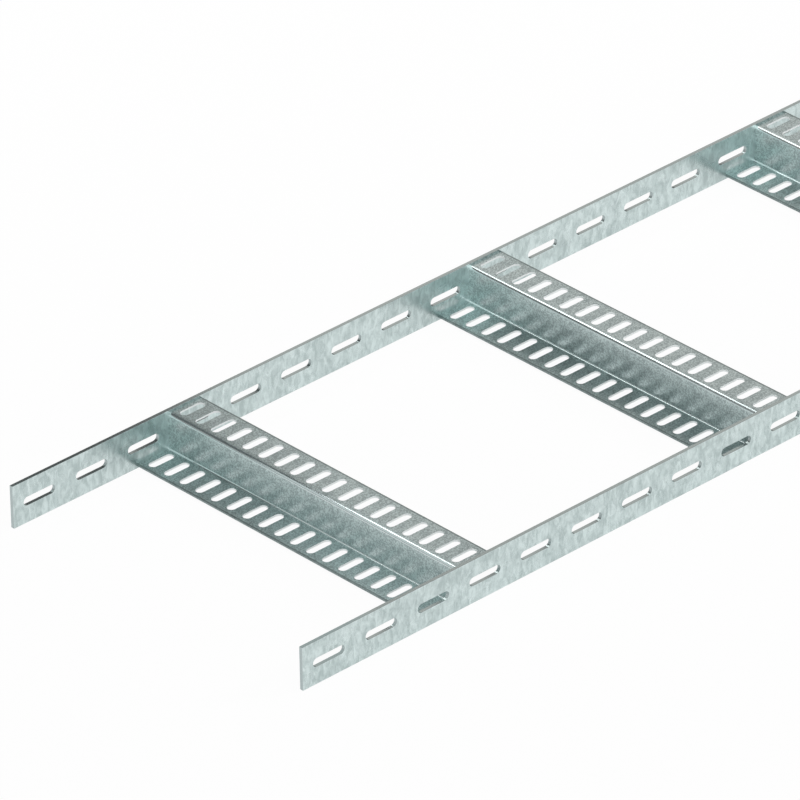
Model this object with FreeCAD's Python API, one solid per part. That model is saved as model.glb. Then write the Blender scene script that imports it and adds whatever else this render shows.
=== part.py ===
import FreeCAD, Part
import math
import os

# Cable ladder section: two slotted flat side rails joined by folded, slotted rungs.
# Millimetres. X runs along the rails, Y across them and Z up.
# The origin is on the floor under the middle of the section.

# Driving dimensions
rung_count = 10
rung_spacing = 300.0          # each rung sits in the middle of its own stretch of rail
clear_width = 300.0           # between the inner faces of the rails
rail_height = 35.0
rail_thickness = 3.0
rail_slot_length = 30.0       # end to end, along the rail
rail_slot_width = 7.0
rail_slot_pitch = 50.0        # the end slots sit half a pitch in from the rail's end
rung_height = 31.5            # over both flanges
rung_sheet = 1.5              # sheet thickness
rung_flange_width = 32.5      # from the outer face of the web to the flange's free edge
rung_bend_radius = 1.0        # inside the bend
rung_slot_length = 22.5       # end to end, across the flange
rung_slot_width = 7.0
rung_slot_pitch = 50.0 / 3    # three slots in every 50 mm of rung

# Slots that take bolts
splice_slots = 2              # at each end of a rail, for a joint plate
hold_down_slot = 2            # counted from each rail, in the bottom flange of the two end rungs

# Sizes that follow from them
ladder_length = rung_count * rung_spacing
rung_base = (rail_height - rung_height) / 2
flange_reach = rung_flange_width - rung_sheet / 2
outer_bend_radius = rung_bend_radius + rung_sheet
rounding_slack = 1e-6         # keeps a whole number of pitches whole


def row_places(count, pitch):
    # Places of an evenly spaced row about zero.
    return [(index - (count - 1) / 2) * pitch for index in range(count)]


def slot_places(span, pitch):
    # As many whole pitches as the span holds, each with a slot in its middle.
    return row_places(max(1, math.floor(span / pitch + rounding_slack)), pitch)


def round_outline(length, width):
    # Slot outline with half round ends, along X about the origin.
    radius = width / 2
    reach = length / 2 - radius
    corners = [
        FreeCAD.Vector(-reach, -radius, 0),
        FreeCAD.Vector(reach, -radius, 0),
        FreeCAD.Vector(reach, radius, 0),
        FreeCAD.Vector(-reach, radius, 0),
    ]
    return Part.Wire([
        Part.makeLine(corners[0], corners[1]),
        Part.Arc(corners[1], FreeCAD.Vector(length / 2, 0, 0), corners[2]).toShape(),
        Part.makeLine(corners[2], corners[3]),
        Part.Arc(corners[3], FreeCAD.Vector(-length / 2, 0, 0), corners[0]).toShape(),
    ])


def light_outline(length, width):
    # The same outline with the sides of half an octagon for each round end. Length and width stay exact,
    # and the many slots that only save weight or take cable ties stay light.
    clipped = width / 2 * (1 - math.tan(math.pi / 8))
    quarter = [(length / 2, width / 2 - clipped), (length / 2 - clipped, width / 2)]
    upper = quarter + [(-x, y) for x, y in reversed(quarter)]
    outline = upper + [(-x, -y) for x, y in upper]
    return Part.makePolygon([FreeCAD.Vector(x, y, 0) for x, y in outline + outline[:1]])


def slot_cutter(outline, sheet):
    # Stands through a sheet whose lower face is at Z = 0, with one sheet's thickness to spare on both sides.
    cutter = Part.Face(outline).extrude(FreeCAD.Vector(0, 0, 3 * sheet))
    cutter.translate(FreeCAD.Vector(0, 0, -sheet))
    return cutter


def side_rail(inner_face, outward):
    # Flat bar on edge. outward is +1 or -1, the way the bar's thickness grows from its inner face.
    low_face = min(inner_face, inner_face + outward * rail_thickness)
    bar = Part.makeBox(
        ladder_length, rail_thickness, rail_height,
        FreeCAD.Vector(-ladder_length / 2, low_face, 0),
    )
    places = slot_places(ladder_length, rail_slot_pitch)
    slots = []
    for index, place in enumerate(places):
        bolted = index < splice_slots or index >= len(places) - splice_slots
        outline = round_outline if bolted else light_outline
        cutter = slot_cutter(outline(rail_slot_length, rail_slot_width), rail_thickness)
        cutter.rotate(FreeCAD.Vector(), FreeCAD.Vector(1, 0, 0), 90)
        cutter.translate(FreeCAD.Vector(place, low_face + rail_thickness, rail_height / 2))
        slots.append(cutter)
    return bar.cut(slots)


def rung_profile():
    # Z section in the XZ plane about X = 0: upright web, top flange towards +X, bottom flange towards -X.
    half_sheet = rung_sheet / 2
    top = rung_height / 2
    under_top = top - rung_sheet
    bend_centre = FreeCAD.Vector(half_sheet + rung_bend_radius, 0, under_top - rung_bend_radius)
    diagonal = math.sqrt(0.5)

    def bend_middle(radius):
        return bend_centre + FreeCAD.Vector(-radius * diagonal, 0, radius * diagonal)

    # Half of the outline: up the web's outer face, round the bend, out to the flange's free edge and back.
    outer_start = FreeCAD.Vector(-half_sheet, 0, top - outer_bend_radius)
    outer_end = FreeCAD.Vector(bend_centre.x, 0, top)
    edge_top = FreeCAD.Vector(flange_reach, 0, top)
    edge_bottom = FreeCAD.Vector(flange_reach, 0, under_top)
    inner_start = FreeCAD.Vector(bend_centre.x, 0, under_top)
    inner_end = FreeCAD.Vector(half_sheet, 0, bend_centre.z)
    half = [
        Part.Arc(outer_start, bend_middle(outer_bend_radius), outer_end).toShape(),
        Part.makeLine(outer_end, edge_top),
        Part.makeLine(edge_top, edge_bottom),
        Part.makeLine(edge_bottom, inner_start),
        Part.Arc(inner_start, bend_middle(rung_bend_radius), inner_end).toShape(),
        Part.makeLine(inner_end, -outer_start),
    ]
    # The other half is the same outline turned half a turn about the rung's centre line.
    other_half = [edge.rotated(FreeCAD.Vector(), FreeCAD.Vector(0, 1, 0), 180) for edge in half]
    return Part.Wire(half + other_half)


def rung(bolted_slots):
    # One rung with its web at X = 0 and its ends flush against both rails.
    # bolted_slots are the numbers of the bottom flange's slots that take bolts, from the right rail.
    blank = Part.Face(rung_profile()).extrude(FreeCAD.Vector(0, clear_width, 0))
    blank.translate(FreeCAD.Vector(0, -clear_width / 2, rung_base + rung_height / 2))
    top_flange_bottom = rung_base + rung_height - rung_sheet
    slots = []
    for number, place in enumerate(slot_places(clear_width, rung_slot_pitch), start=1):
        bottom_outline = round_outline if number in bolted_slots else light_outline
        for side, flange_bottom, outline in (
            (1, top_flange_bottom, light_outline),
            (-1, rung_base, bottom_outline),
        ):
            cutter = slot_cutter(outline(rung_slot_length, rung_slot_width), rung_sheet)
            cutter.translate(FreeCAD.Vector(side * flange_reach / 2, place, flange_bottom))
            slots.append(cutter)
    return blank.cut(slots)


def write_part(shape, name):
    solid = shape.Solids[0]
    solid.exportStep(os.path.join("parts", name + ".step"))
    print(name, "volume", round(solid.Volume), "faces", len(solid.Faces), "valid", solid.isValid())


os.makedirs("parts", exist_ok=True)
write_part(side_rail(clear_width / 2, 1), "side_rail_left")
write_part(side_rail(-clear_width / 2, -1), "side_rail_right")
slots_per_flange = len(slot_places(clear_width, rung_slot_pitch))
middle_rung = rung([])
end_rung = rung([hold_down_slot, slots_per_flange + 1 - hold_down_slot])
for number, place in enumerate(row_places(rung_count, rung_spacing), start=1):
    shape = end_rung if number in (1, rung_count) else middle_rung
    write_part(shape.translated(FreeCAD.Vector(place, 0, 0)), f"rung_{number:02d}")
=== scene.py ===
import math

import bmesh
import bpy
from mathutils import Matrix, Vector


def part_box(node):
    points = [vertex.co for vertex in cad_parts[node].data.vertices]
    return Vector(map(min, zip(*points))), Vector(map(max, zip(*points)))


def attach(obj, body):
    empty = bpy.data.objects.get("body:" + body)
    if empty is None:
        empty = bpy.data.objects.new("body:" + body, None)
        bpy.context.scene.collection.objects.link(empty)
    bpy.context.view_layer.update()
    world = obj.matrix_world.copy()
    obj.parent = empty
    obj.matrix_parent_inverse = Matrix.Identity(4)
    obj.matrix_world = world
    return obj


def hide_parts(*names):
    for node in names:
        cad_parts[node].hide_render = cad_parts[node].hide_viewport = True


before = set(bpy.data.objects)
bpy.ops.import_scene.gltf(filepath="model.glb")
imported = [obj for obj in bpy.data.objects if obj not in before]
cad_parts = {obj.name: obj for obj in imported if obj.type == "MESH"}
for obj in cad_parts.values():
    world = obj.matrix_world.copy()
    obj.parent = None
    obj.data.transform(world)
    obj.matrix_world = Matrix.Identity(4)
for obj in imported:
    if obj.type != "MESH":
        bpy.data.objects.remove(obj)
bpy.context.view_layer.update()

mm = 0.001
samePoint = 1e-6         # metres; points closer than this are one
railNodes = [name for name in sorted(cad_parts) if name.startswith("side_rail")]
rungNodes = [name for name in sorted(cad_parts) if name.startswith("rung")]


# small helpers

def hexColour(text):
    # sRGB hex to the linear colour that a socket takes
    channels = [int(text[i:i + 2], 16) / 255 for i in (0, 2, 4)]
    linear = [c / 12.92 if c <= 0.04045 else ((c + 0.055) / 1.055) ** 2.4 for c in channels]
    return (*linear, 1.0)


def addNode(tree, kind, settings=None, inputs=None):
    # settings are the node's own properties, inputs are socket values or links from other sockets
    node = tree.nodes.new(kind)
    for key, value in (settings or {}).items():
        setattr(node, key, value)
    for key, value in (inputs or {}).items():
        if isinstance(value, bpy.types.NodeSocket):
            tree.links.new(value, node.inputs[key])
        else:
            node.inputs[key].default_value = value
    return node


def newMaterial(name):
    material = bpy.data.materials.new(name)
    material.use_nodes = True
    material.node_tree.nodes.clear()
    return material


def newObject(bm, name):
    mesh = bpy.data.meshes.new(name)
    bm.to_mesh(mesh)
    bm.free()
    made = bpy.data.objects.new(name, mesh)
    bpy.context.collection.objects.link(made)
    return made


def vertsIn(geom):
    return [item for item in geom if isinstance(item, bmesh.types.BMVert)]


def rowPlaces(count, pitch):
    # places of an evenly spaced row about zero
    return [(i - (count - 1) / 2) * pitch for i in range(count)]


# sheet metal with a row of round-ended slots

edgeSpec = {
    "segments": 2,
    "sharpAngle": 50,        # degrees; the small steps of a bend stay below it
}


def addSlottedCell(bm, slotLength, slotWidth, lowReach, highReach, halfPitch, endSteps):
    # one slot about the origin, in a flat cell from -lowReach to highReach along X and twice halfPitch wide
    radius = slotWidth / 2
    straight = slotLength / 2 - radius
    tip = bm.verts.new((straight, -radius, 0))
    bmesh.ops.spin(bm, geom=[tip], cent=(straight, 0, 0), axis=(0, 0, 1), angle=math.pi, steps=endSteps)
    bmesh.ops.mirror(bm, geom=bm.verts[:] + bm.edges[:], axis="X", merge_dist=-1)
    for level in (-radius, radius):
        bm.edges.new([v for v in bm.verts if abs(v.co.y - level) < samePoint])
    rim = bmesh.ops.extrude_edge_only(bm, edges=bm.edges[:])
    for vert in vertsIn(rim["geom"]):
        side = 1 if vert.co.x > 0 else -1
        reach = (highReach if side > 0 else lowReach) - straight
        towards = vert.co - Vector((side * straight, 0, 0))
        towards /= max(abs(towards.x), abs(towards.y))    # from the round end to the cell's square border
        vert.co = Vector((side * straight + towards.x * reach, towards.y * halfPitch, 0))


def repeatMesh(bm, steps):
    # a copy of the mesh at each step in place of the one there was, joined where they touch
    original = bm.verts[:] + bm.edges[:] + bm.faces[:]
    for step in steps:
        copied = bmesh.ops.duplicate(bm, geom=original)["geom"]
        bmesh.ops.translate(bm, verts=vertsIn(copied), vec=step)
    bmesh.ops.delete(bm, geom=vertsIn(original), context="VERTS")
    bmesh.ops.remove_doubles(bm, verts=bm.verts[:], dist=samePoint)


def finishPiece(bm, name, node, thickness, edgeRadius, materials):
    # bm is the sheet's middle surface: it gets its thickness and slightly rounded edges
    bmesh.ops.recalc_face_normals(bm, faces=bm.faces[:])
    piece = newObject(bm, name)
    for polygon in piece.data.polygons:
        polygon.use_smooth = True
    for material in materials:
        piece.data.materials.append(material)
    wall = piece.modifiers.new("sheet", "SOLIDIFY")
    wall.thickness = thickness
    wall.offset = 0
    wall.use_even_offset = True
    wall.material_offset_rim = 1          # cut faces take the next material, where the piece has one
    edge = piece.modifiers.new("edges", "BEVEL")
    edge.width = edgeRadius
    edge.segments = edgeSpec["segments"]
    edge.limit_method = "ANGLE"
    edge.angle_limit = math.radians(edgeSpec["sharpAngle"])
    edge.harden_normals = True
    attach(piece, "root")
    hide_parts(node)


# materials

mixShare, mixFrom, mixTo, mixResult = 0, 6, 7, 2      # sockets of a Mix node that mixes colours

zincSpec = {                                      # sizes in mm
    "strokeWidth": 4.2, "strokeHeight": 9.0,      # zinc runs off along Z and leaves upright cloudy strokes
    "strokeSwirl": 0.8, "levelStrokes": 0.3,      # faces that lie level show this share of the strokes
    "spangle": 9.0, "spangleBlur": 0.4, "spangleShare": 0.35,
    "grain": 1.2,                                 # the real grain is finer: drawn coarse enough to show
    "roughnessSpread": 0.08,
    "reliefHeight": 0.1, "reliefStrength": 0.15,
    # strokes and grainShare say how strongly each of them shades the zinc between dark and light
    "rail": {
        "dark": "C2D1D0", "light": "E8F6F5", "roughness": 0.29, "strokes": 2.6, "grainShare": 0.8,
        "sides": [                                # cut ends, then long edges that were rolled smooth: the roughness is their finish, the darker colours are painted shade
            {"axis": "X", "from": (0.5, 0.9), "colour": "C4D0D0", "roughness": 0.45},
            {"axis": "Z", "from": (0.5, 0.9), "colour": "AFBBBA", "roughness": 0.18},
        ],
    },
    "rung": {
        "dark": "A8B7B7", "light": "D3E2E1", "roughness": 0.33, "strokes": 1.8, "grainShare": 6.0,
        "sides": [                                # bends, drawn smooth, with a lighter colour that is a painted highlight
            {"axis": "X", "from": (0.05, 0.25), "until": (0.985, 0.9995),
             "colour": "DEEAEA", "roughness": 0.2},
        ],
    },
    # dark strip along the free edge of each flange: painted shade, with the sheet's own roughness
    "freeEdgeShade": {
        "dark": "7C8989", "light": "9EACAB", "roughness": 0.33, "strokes": 1.0, "grainShare": 2.0,
        "sides": [],
    },
    # near-white slot walls: painted light for their bright look; the matt roughness is their finish
    "slotWall": {"colour": "F2F6F6", "roughness": 0.7},
}


def galvanisedSteel(name, look):
    # hot-dip galvanised steel: the frozen zinc is bright, with cloudy spangles and soft, broken reflections
    material = newMaterial(name)
    tree = material.node_tree
    coords = addNode(tree, "ShaderNodeTexCoord")
    place = coords.outputs["Object"]
    facing = addNode(tree, "ShaderNodeSeparateXYZ", {}, {"Vector": coords.outputs["Normal"]})
    level = addNode(tree, "ShaderNodeMath", {"operation": "ABSOLUTE"}, {0: facing.outputs["Z"]})
    upright = addNode(tree, "ShaderNodeMath", {"operation": "SUBTRACT"}, {0: 1.0, 1: level.outputs["Value"]})
    strokeScale = (1 / (zincSpec["strokeWidth"] * mm),) * 2 + (1 / (zincSpec["strokeHeight"] * mm),)
    strokePlace = addNode(tree, "ShaderNodeMapping", {}, {"Vector": place, "Scale": strokeScale})
    strokes = addNode(tree, "ShaderNodeTexNoise", {}, {
        "Vector": strokePlace.outputs["Vector"], "Scale": 1.0, "Detail": 3.0, "Roughness": 0.5,
        "Distortion": zincSpec["strokeSwirl"]})
    strokeDepth = addNode(tree, "ShaderNodeMapRange", {}, {
        "Value": upright.outputs["Value"],
        "To Min": look["strokes"] * zincSpec["levelStrokes"], "To Max": look["strokes"]})
    spangles = addNode(tree, "ShaderNodeTexVoronoi", {"feature": "SMOOTH_F1"}, {
        "Vector": place, "Scale": 1 / (zincSpec["spangle"] * mm),
        "Smoothness": zincSpec["spangleBlur"], "Randomness": 1.0})
    spangleShade = addNode(tree, "ShaderNodeSeparateColor", {}, {"Color": spangles.outputs["Color"]})
    grain = addNode(tree, "ShaderNodeTexNoise", {}, {
        "Vector": place, "Scale": 1 / (zincSpec["grain"] * mm), "Detail": 2.0, "Roughness": 0.6})
    middle = addNode(tree, "ShaderNodeMath", {"operation": "SUBTRACT"}, {0: strokes.outputs["Fac"], 1: 0.5})
    cloud = addNode(tree, "ShaderNodeMath", {"operation": "MULTIPLY_ADD"}, {
        0: middle.outputs["Value"], 1: strokeDepth.outputs["Result"], 2: 0.5})
    patchy = addNode(tree, "ShaderNodeMath", {"operation": "SUBTRACT"}, {
        0: spangleShade.outputs["Red"], 1: 0.5})
    cloudier = addNode(tree, "ShaderNodeMath", {"operation": "MULTIPLY_ADD"}, {
        0: patchy.outputs["Value"], 1: zincSpec["spangleShare"], 2: cloud.outputs["Value"]})
    fine = addNode(tree, "ShaderNodeMath", {"operation": "SUBTRACT"}, {0: grain.outputs["Fac"], 1: 0.5})
    shade = addNode(tree, "ShaderNodeMath", {"operation": "MULTIPLY_ADD", "use_clamp": True}, {
        0: fine.outputs["Value"], 1: look["grainShare"], 2: cloudier.outputs["Value"]})
    colour = addNode(tree, "ShaderNodeMix", {"data_type": "RGBA"}, {
        mixShare: shade.outputs["Value"],
        mixFrom: hexColour(look["dark"]), mixTo: hexColour(look["light"])}).outputs[mixResult]
    gloss = addNode(tree, "ShaderNodeMapRange", {}, {
        "Value": spangleShade.outputs["Green"],
        "To Min": look["roughness"] - zincSpec["roughnessSpread"] / 2,
        "To Max": look["roughness"] + zincSpec["roughnessSpread"] / 2}).outputs["Result"]
    for side in look["sides"]:
        # a side's look takes over as a face turns towards its axis, and lets go again past "until"; such a
        # colour by facing is painted shade or painted highlight
        turned = addNode(tree, "ShaderNodeMath", {"operation": "ABSOLUTE"}, {0: facing.outputs[side["axis"]]})
        share = addNode(tree, "ShaderNodeMapRange", {"interpolation_type": "SMOOTHSTEP"}, {
            "Value": turned.outputs["Value"], "From Min": side["from"][0], "From Max": side["from"][1]})
        if "until" in side:
            share = addNode(tree, "ShaderNodeMapRange", {"interpolation_type": "SMOOTHSTEP"}, {
                "Value": turned.outputs["Value"], "From Min": side["until"][0], "From Max": side["until"][1],
                "To Min": share.outputs["Result"], "To Max": 0.0})
        colour = addNode(tree, "ShaderNodeMix", {"data_type": "RGBA"}, {
            mixShare: share.outputs["Result"],
            mixFrom: colour, mixTo: hexColour(side["colour"])}).outputs[mixResult]
        gloss = addNode(tree, "ShaderNodeMapRange", {}, {
            "Value": share.outputs["Result"], "To Min": gloss, "To Max": side["roughness"]}).outputs["Result"]
    relief = addNode(tree, "ShaderNodeBump", {}, {
        "Height": cloud.outputs["Value"],
        "Strength": zincSpec["reliefStrength"], "Distance": zincSpec["reliefHeight"] * mm})
    shader = addNode(tree, "ShaderNodeBsdfPrincipled", {}, {
        "Base Color": colour, "Metallic": 1.0, "Roughness": gloss,
        "Normal": relief.outputs["Normal"]})
    addNode(tree, "ShaderNodeOutputMaterial", {}, {"Surface": shader.outputs["BSDF"]})
    return material


def brightMattWall(name, look):
    # matt, nearly white walls for the punched slots; it mirrors nothing. The near-white is painted light for
    # their bright look, not the zinc's colour
    material = newMaterial(name)
    tree = material.node_tree
    shader = addNode(tree, "ShaderNodeBsdfPrincipled", {}, {
        "Base Color": hexColour(look["colour"]), "Roughness": look["roughness"]})
    addNode(tree, "ShaderNodeOutputMaterial", {}, {"Surface": shader.outputs["BSDF"]})
    return material


railZinc = galvanisedSteel("hotDipGalvanisedRail", zincSpec["rail"])
rungZinc = galvanisedSteel("hotDipGalvanisedRung", zincSpec["rung"])
# the dark strip along the rungs' free edges is painted shade
freeEdgeShadeZinc = galvanisedSteel("paintedShadeOnFreeEdges", zincSpec["freeEdgeShade"])
# the near-white slot walls are painted light
slotWallBrightPaint = brightMattWall("slotWallsPaintedBright", zincSpec["slotWall"])
print("materials made")


# side rails: flat bars on edge

railSpec = {                      # millimetres
    "slotLength": 30.0, "slotWidth": 7.0, "slotPitch": 50.0,
    "endSteps": 12,               # flat steps in each round slot end
    "edgeRadius": 0.15,
}


def makeRail(node):
    low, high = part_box(node)
    size = high - low
    pitch = railSpec["slotPitch"] * mm
    bm = bmesh.new()
    addSlottedCell(bm, railSpec["slotLength"] * mm, railSpec["slotWidth"] * mm,
                   pitch / 2, pitch / 2, size.z / 2, railSpec["endSteps"])
    repeatMesh(bm, [Vector((place, 0, 0)) for place in rowPlaces(round(size.x / pitch), pitch)])
    bmesh.ops.rotate(bm, verts=bm.verts[:], cent=(0, 0, 0), matrix=Matrix.Rotation(math.pi / 2, 3, "X"))
    bmesh.ops.translate(bm, verts=bm.verts[:], vec=(low + high) / 2)
    finishPiece(bm, node + "_bar", node, size.y, railSpec["edgeRadius"] * mm, [railZinc])


for node in railNodes:
    makeRail(node)
print("side rails made")


# rungs: thin sheet folded to a Z section, slotted in both flanges

rungSpec = {                      # millimetres
    "sheet": 1.5, "bendRadius": 1.0, "bendSteps": 6,
    "slotLength": 22.5, "slotWidth": 7.0, "slotsPerRung": 18, "endSteps": 8,
    "edgeRadius": 0.12,
    "freeEdgeShadeStrip": 1.4,          # strip of painted shade along each flange's free edge
}
rungMaterials = [rungZinc, slotWallBrightPaint, freeEdgeShadeZinc]     # the sheet, the walls of its slots in painted light, the strips of painted shade


def makeRungMesh(size):
    # the sheet's middle surface about the origin: half a Z, then its copy turned half a turn
    middleRadius = (rungSpec["bendRadius"] + rungSpec["sheet"] / 2) * mm
    flangeReach = size.x / 2
    halfHeight = (size.z - rungSpec["sheet"] * mm) / 2
    count = rungSpec["slotsPerRung"]
    pitch = size.y / count
    slotCentre = flangeReach / 2
    stripStart = flangeReach - rungSpec["freeEdgeShadeStrip"] * mm
    bm = bmesh.new()
    addSlottedCell(bm, rungSpec["slotLength"] * mm, rungSpec["slotWidth"] * mm,
                   slotCentre - middleRadius, stripStart - slotCentre, pitch / 2, rungSpec["endSteps"])
    bmesh.ops.translate(bm, verts=bm.verts[:], vec=(slotCentre, 0, halfHeight))
    repeatMesh(bm, [Vector((0, place, 0)) for place in rowPlaces(count, pitch)])
    freeEdge = [e for e in bm.edges if all(abs(v.co.x - stripStart) < samePoint for v in e.verts)]
    strip = bmesh.ops.extrude_edge_only(bm, edges=freeEdge)["geom"]
    for vert in vertsIn(strip):
        vert.co.x = flangeReach
    # the strip along the free edge takes the painted shade
    for face in [item for item in strip if isinstance(item, bmesh.types.BMFace)]:
        face.material_index = rungMaterials.index(freeEdgeShadeZinc)
    foldLine = [e for e in bm.edges if all(abs(v.co.x - middleRadius) < samePoint for v in e.verts)]
    bent = bmesh.ops.spin(bm, geom=foldLine, cent=(middleRadius, 0, halfHeight - middleRadius),
                          axis=(0, 1, 0), angle=-math.pi / 2, steps=rungSpec["bendSteps"])["geom_last"]
    webEdges = [item for item in bent if isinstance(item, bmesh.types.BMEdge)]
    web = bmesh.ops.extrude_edge_only(bm, edges=webEdges)["geom"]
    for vert in vertsIn(web):
        vert.co.z = 0
    half = bm.verts[:] + bm.edges[:] + bm.faces[:]
    turned = bmesh.ops.duplicate(bm, geom=half)["geom"]
    bmesh.ops.rotate(bm, verts=vertsIn(turned), cent=(0, 0, 0), matrix=Matrix.Rotation(math.pi, 3, "Y"))
    bmesh.ops.remove_doubles(bm, verts=bm.verts[:], dist=samePoint)
    return bm


def makeRung(node):
    low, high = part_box(node)
    bm = makeRungMesh(high - low)
    bmesh.ops.translate(bm, verts=bm.verts[:], vec=(low + high) / 2)
    finishPiece(bm, node + "_sheet", node, rungSpec["sheet"] * mm, rungSpec["edgeRadius"] * mm,
                rungMaterials)


for node in rungNodes:
    makeRung(node)
print("rungs made")


# floor and studio light

studioSpec = {                                   # metres, watts; a fade is two cosines
    "floorSize": 300.0, "floorDrop": 0.0002,     # the floor lies just under the rails' feet
    "floorColour": "F4F4F4",
    "whiteSeen": 0.95, "whiteMirrored": 0.7,     # shares of plain white, the rest takes light and shadow
    "mirroredWhite": "E7E7E7",
    "skyFront": 1.2,
    "skyBack": 0.12, "skyBackTowards": (0.243, 0.970, 0.0), "skyBackFade": (-0.1, 0.56),
    "skyDim": 0.35, "skyDimTowards": (0.584, -0.631, 0.511), "skyDimFade": (0.8, 0.97),
    "cards": [                                   # only reflections see them, in the folds of the first rung
        {"name": "darkCard", "low": (-1.42, 0.195), "high": (-1.165, 0.43),
         "height": 0.3, "colour": "464E4E"},
        {"name": "paleCard", "low": (-1.44, -0.1), "high": (-1.37, 0.12),
         "height": 0.1, "colour": "D0D4D4"},
        {"name": "farPaleCard", "low": (-1.6, -0.1), "high": (-1.44, 0.26),
         "height": 0.1, "colour": "D0D4D4"},
    ],
    "lamps": [                                   # the camera sees none, the metal only the mirrored ones
        {"name": "keyBox", "place": (3.2, -2.6, 2.7), "target": (-1.2, 0.0, 0.0),
         "size": (0.8, 0.8), "power": 60.0, "colour": "FFFFFF", "mirrored": False},
        {"name": "rightBox", "place": (0.293, 0.464, 0.767), "target": (-0.583, -0.4825, 0.0),
         "size": (2.02, 0.6), "power": 2.6, "colour": "FFF8F5", "mirrored": True},
        {"name": "bendLight", "place": (-1.0, 0.98, 1.25), "target": (-1.0, 0.98, 0.0),
         "size": (1.0, 0.36), "power": 3.1, "colour": "FFFFFF", "mirrored": True},
    ],
}


def levelSheet(name, length, width):
    # flat rectangle about its own origin
    bm = bmesh.new()
    bmesh.ops.create_grid(bm, x_segments=1, y_segments=1, size=0.5)      # one metre across
    bmesh.ops.scale(bm, verts=bm.verts[:], vec=(length, width, 1))
    return newObject(bm, name)


def makeFloor():
    # matt white studio board: nearly plain white to the eye, with a trace of shadow
    floor = levelSheet("floor", studioSpec["floorSize"], studioSpec["floorSize"])
    floor.location.z = -studioSpec["floorDrop"]
    material = newMaterial("paleFloor")
    tree = material.node_tree
    rays = addNode(tree, "ShaderNodeLightPath")
    seen = addNode(tree, "ShaderNodeMath", {"operation": "MULTIPLY"}, {
        0: rays.outputs["Is Camera Ray"], 1: studioSpec["whiteSeen"]})
    share = addNode(tree, "ShaderNodeMath", {"operation": "MULTIPLY_ADD"}, {
        0: rays.outputs["Is Glossy Ray"], 1: studioSpec["whiteMirrored"], 2: seen.outputs["Value"]})
    matt = addNode(tree, "ShaderNodeBsdfDiffuse", {}, {"Color": hexColour(studioSpec["floorColour"])})
    shown = addNode(tree, "ShaderNodeMix", {"data_type": "RGBA"}, {
        mixShare: rays.outputs["Is Camera Ray"],
        mixFrom: hexColour(studioSpec["mirroredWhite"]), mixTo: hexColour("FFFFFF")})
    white = addNode(tree, "ShaderNodeEmission", {}, {"Color": shown.outputs[mixResult], "Strength": 1.0})
    mixed = addNode(tree, "ShaderNodeMixShader", {}, {
        0: share.outputs["Value"], 1: matt.outputs["BSDF"], 2: white.outputs["Emission"]})
    addNode(tree, "ShaderNodeOutputMaterial", {}, {"Surface": mixed.outputs["Shader"]})
    floor.data.materials.append(material)


def makeSky():
    # white for the camera; the metal mirrors it bright in front, dark behind and dim at the front right
    world = bpy.data.worlds.new("studio")
    bpy.context.scene.world = world
    world.use_nodes = True
    tree = world.node_tree
    tree.nodes.clear()
    rays = addNode(tree, "ShaderNodeLightPath")
    direction = addNode(tree, "ShaderNodeTexCoord").outputs["Generated"]
    behind = addNode(tree, "ShaderNodeVectorMath", {"operation": "DOT_PRODUCT"}, {
        0: direction, 1: studioSpec["skyBackTowards"]})
    shade = addNode(tree, "ShaderNodeMapRange", {"interpolation_type": "SMOOTHSTEP"}, {
        "Value": behind.outputs["Value"],
        "From Min": studioSpec["skyBackFade"][0], "From Max": studioSpec["skyBackFade"][1],
        "To Min": studioSpec["skyFront"], "To Max": studioSpec["skyBack"]})
    dimSide = addNode(tree, "ShaderNodeVectorMath", {"operation": "DOT_PRODUCT"}, {
        0: direction, 1: studioSpec["skyDimTowards"]})
    dimming = addNode(tree, "ShaderNodeMapRange", {"interpolation_type": "SMOOTHSTEP"}, {
        "Value": dimSide.outputs["Value"],
        "From Min": studioSpec["skyDimFade"][0], "From Max": studioSpec["skyDimFade"][1],
        "To Min": 1.0, "To Max": studioSpec["skyDim"]})
    room = addNode(tree, "ShaderNodeBackground", {}, {
        "Color": shade.outputs["Result"], "Strength": dimming.outputs["Result"]})
    white = addNode(tree, "ShaderNodeBackground", {}, {"Color": hexColour("FFFFFF"), "Strength": 1.0})
    mixed = addNode(tree, "ShaderNodeMixShader", {}, {
        0: rays.outputs["Is Camera Ray"], 1: room.outputs["Background"], 2: white.outputs["Background"]})
    addNode(tree, "ShaderNodeOutputWorld", {}, {"Surface": mixed.outputs["Shader"]})


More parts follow.
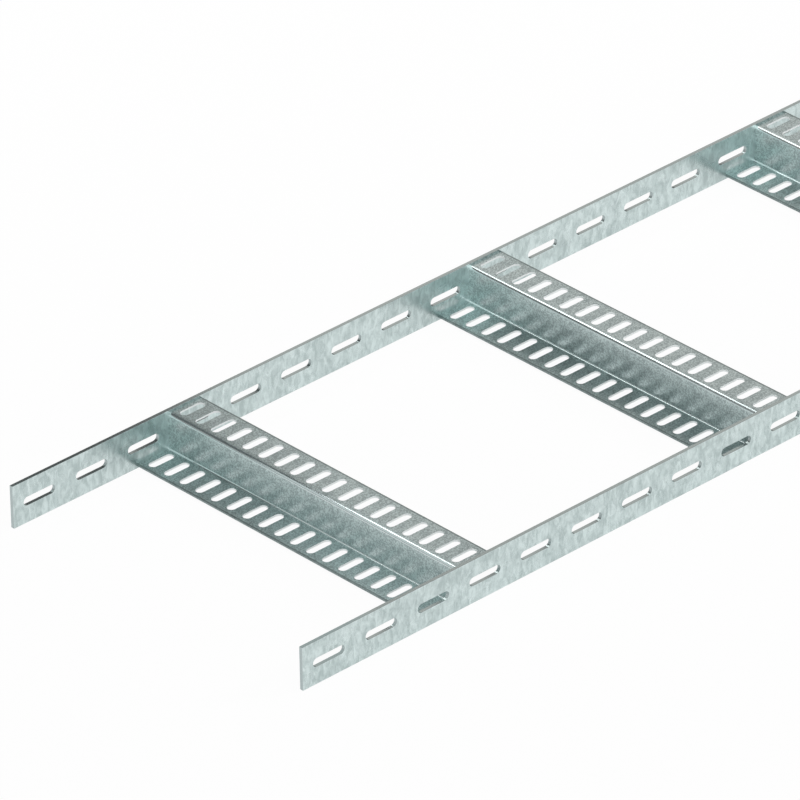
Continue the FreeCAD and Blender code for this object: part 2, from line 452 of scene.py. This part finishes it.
def addCard(name, low, high, height, colour):
    # level card with its corners at low and high, in evenly lit cloth: one flat tone in a reflection
    card = levelSheet(name, high[0] - low[0], high[1] - low[1])
    card.location = ((low[0] + high[0]) / 2, (low[1] + high[1]) / 2, height)
    card.visible_camera = card.visible_diffuse = card.visible_shadow = False
    material = newMaterial(name)
    tree = material.node_tree
    cloth = addNode(tree, "ShaderNodeEmission", {}, {"Color": hexColour(colour), "Strength": 1.0})
    addNode(tree, "ShaderNodeOutputMaterial", {}, {"Surface": cloth.outputs["Emission"]})
    card.data.materials.append(material)


def addSoftbox(name, place, target, size, power, colour, mirrored):
    light = bpy.data.lights.new(name, "AREA")
    light.shape = "RECTANGLE"
    light.size, light.size_y = size
    light.energy = power
    light.color = hexColour(colour)[:3]
    lamp = bpy.data.objects.new(name, light)
    lamp.location = place
    lamp.visible_glossy = mirrored
    lamp.rotation_euler = (Vector(target) - Vector(place)).to_track_quat("-Z", "Y").to_euler()
    bpy.context.collection.objects.link(lamp)


makeFloor()
makeSky()
for card in studioSpec["cards"]:
    addCard(**card)
for lamp in studioSpec["lamps"]:
    addSoftbox(**lamp)
print("studio made")


# camera at the photograph's viewing angle

cameraSpec = {
    "place": (-5.2298, -4.2838, 3.5426),                       # metres
    "azimuth": -42.81, "elevation": 30.74, "roll": -1.08,      # degrees; azimuth 0 looks along +Y
    "focalLength": 428.2, "sensor": 36.0,                      # millimetres
    "farClip": 200.0,                                          # metres
}


def makeCamera():
    camera = bpy.data.objects.new("camera", bpy.data.cameras.new("camera"))
    camera.data.lens = cameraSpec["focalLength"]
    camera.data.sensor_width = cameraSpec["sensor"]
    camera.data.clip_end = cameraSpec["farClip"]
    turn = Matrix.Rotation(math.radians(cameraSpec["azimuth"]), 4, "Z")
    tilt = Matrix.Rotation(math.radians(90 - cameraSpec["elevation"]), 4, "X")
    roll = Matrix.Rotation(math.radians(cameraSpec["roll"]), 4, "Z")
    camera.matrix_world = Matrix.Translation(cameraSpec["place"]) @ turn @ tilt @ roll
    bpy.context.collection.objects.link(camera)
    bpy.context.scene.camera = camera


makeCamera()
bpy.context.scene.view_settings.view_transform = "Standard"
print("camera made")
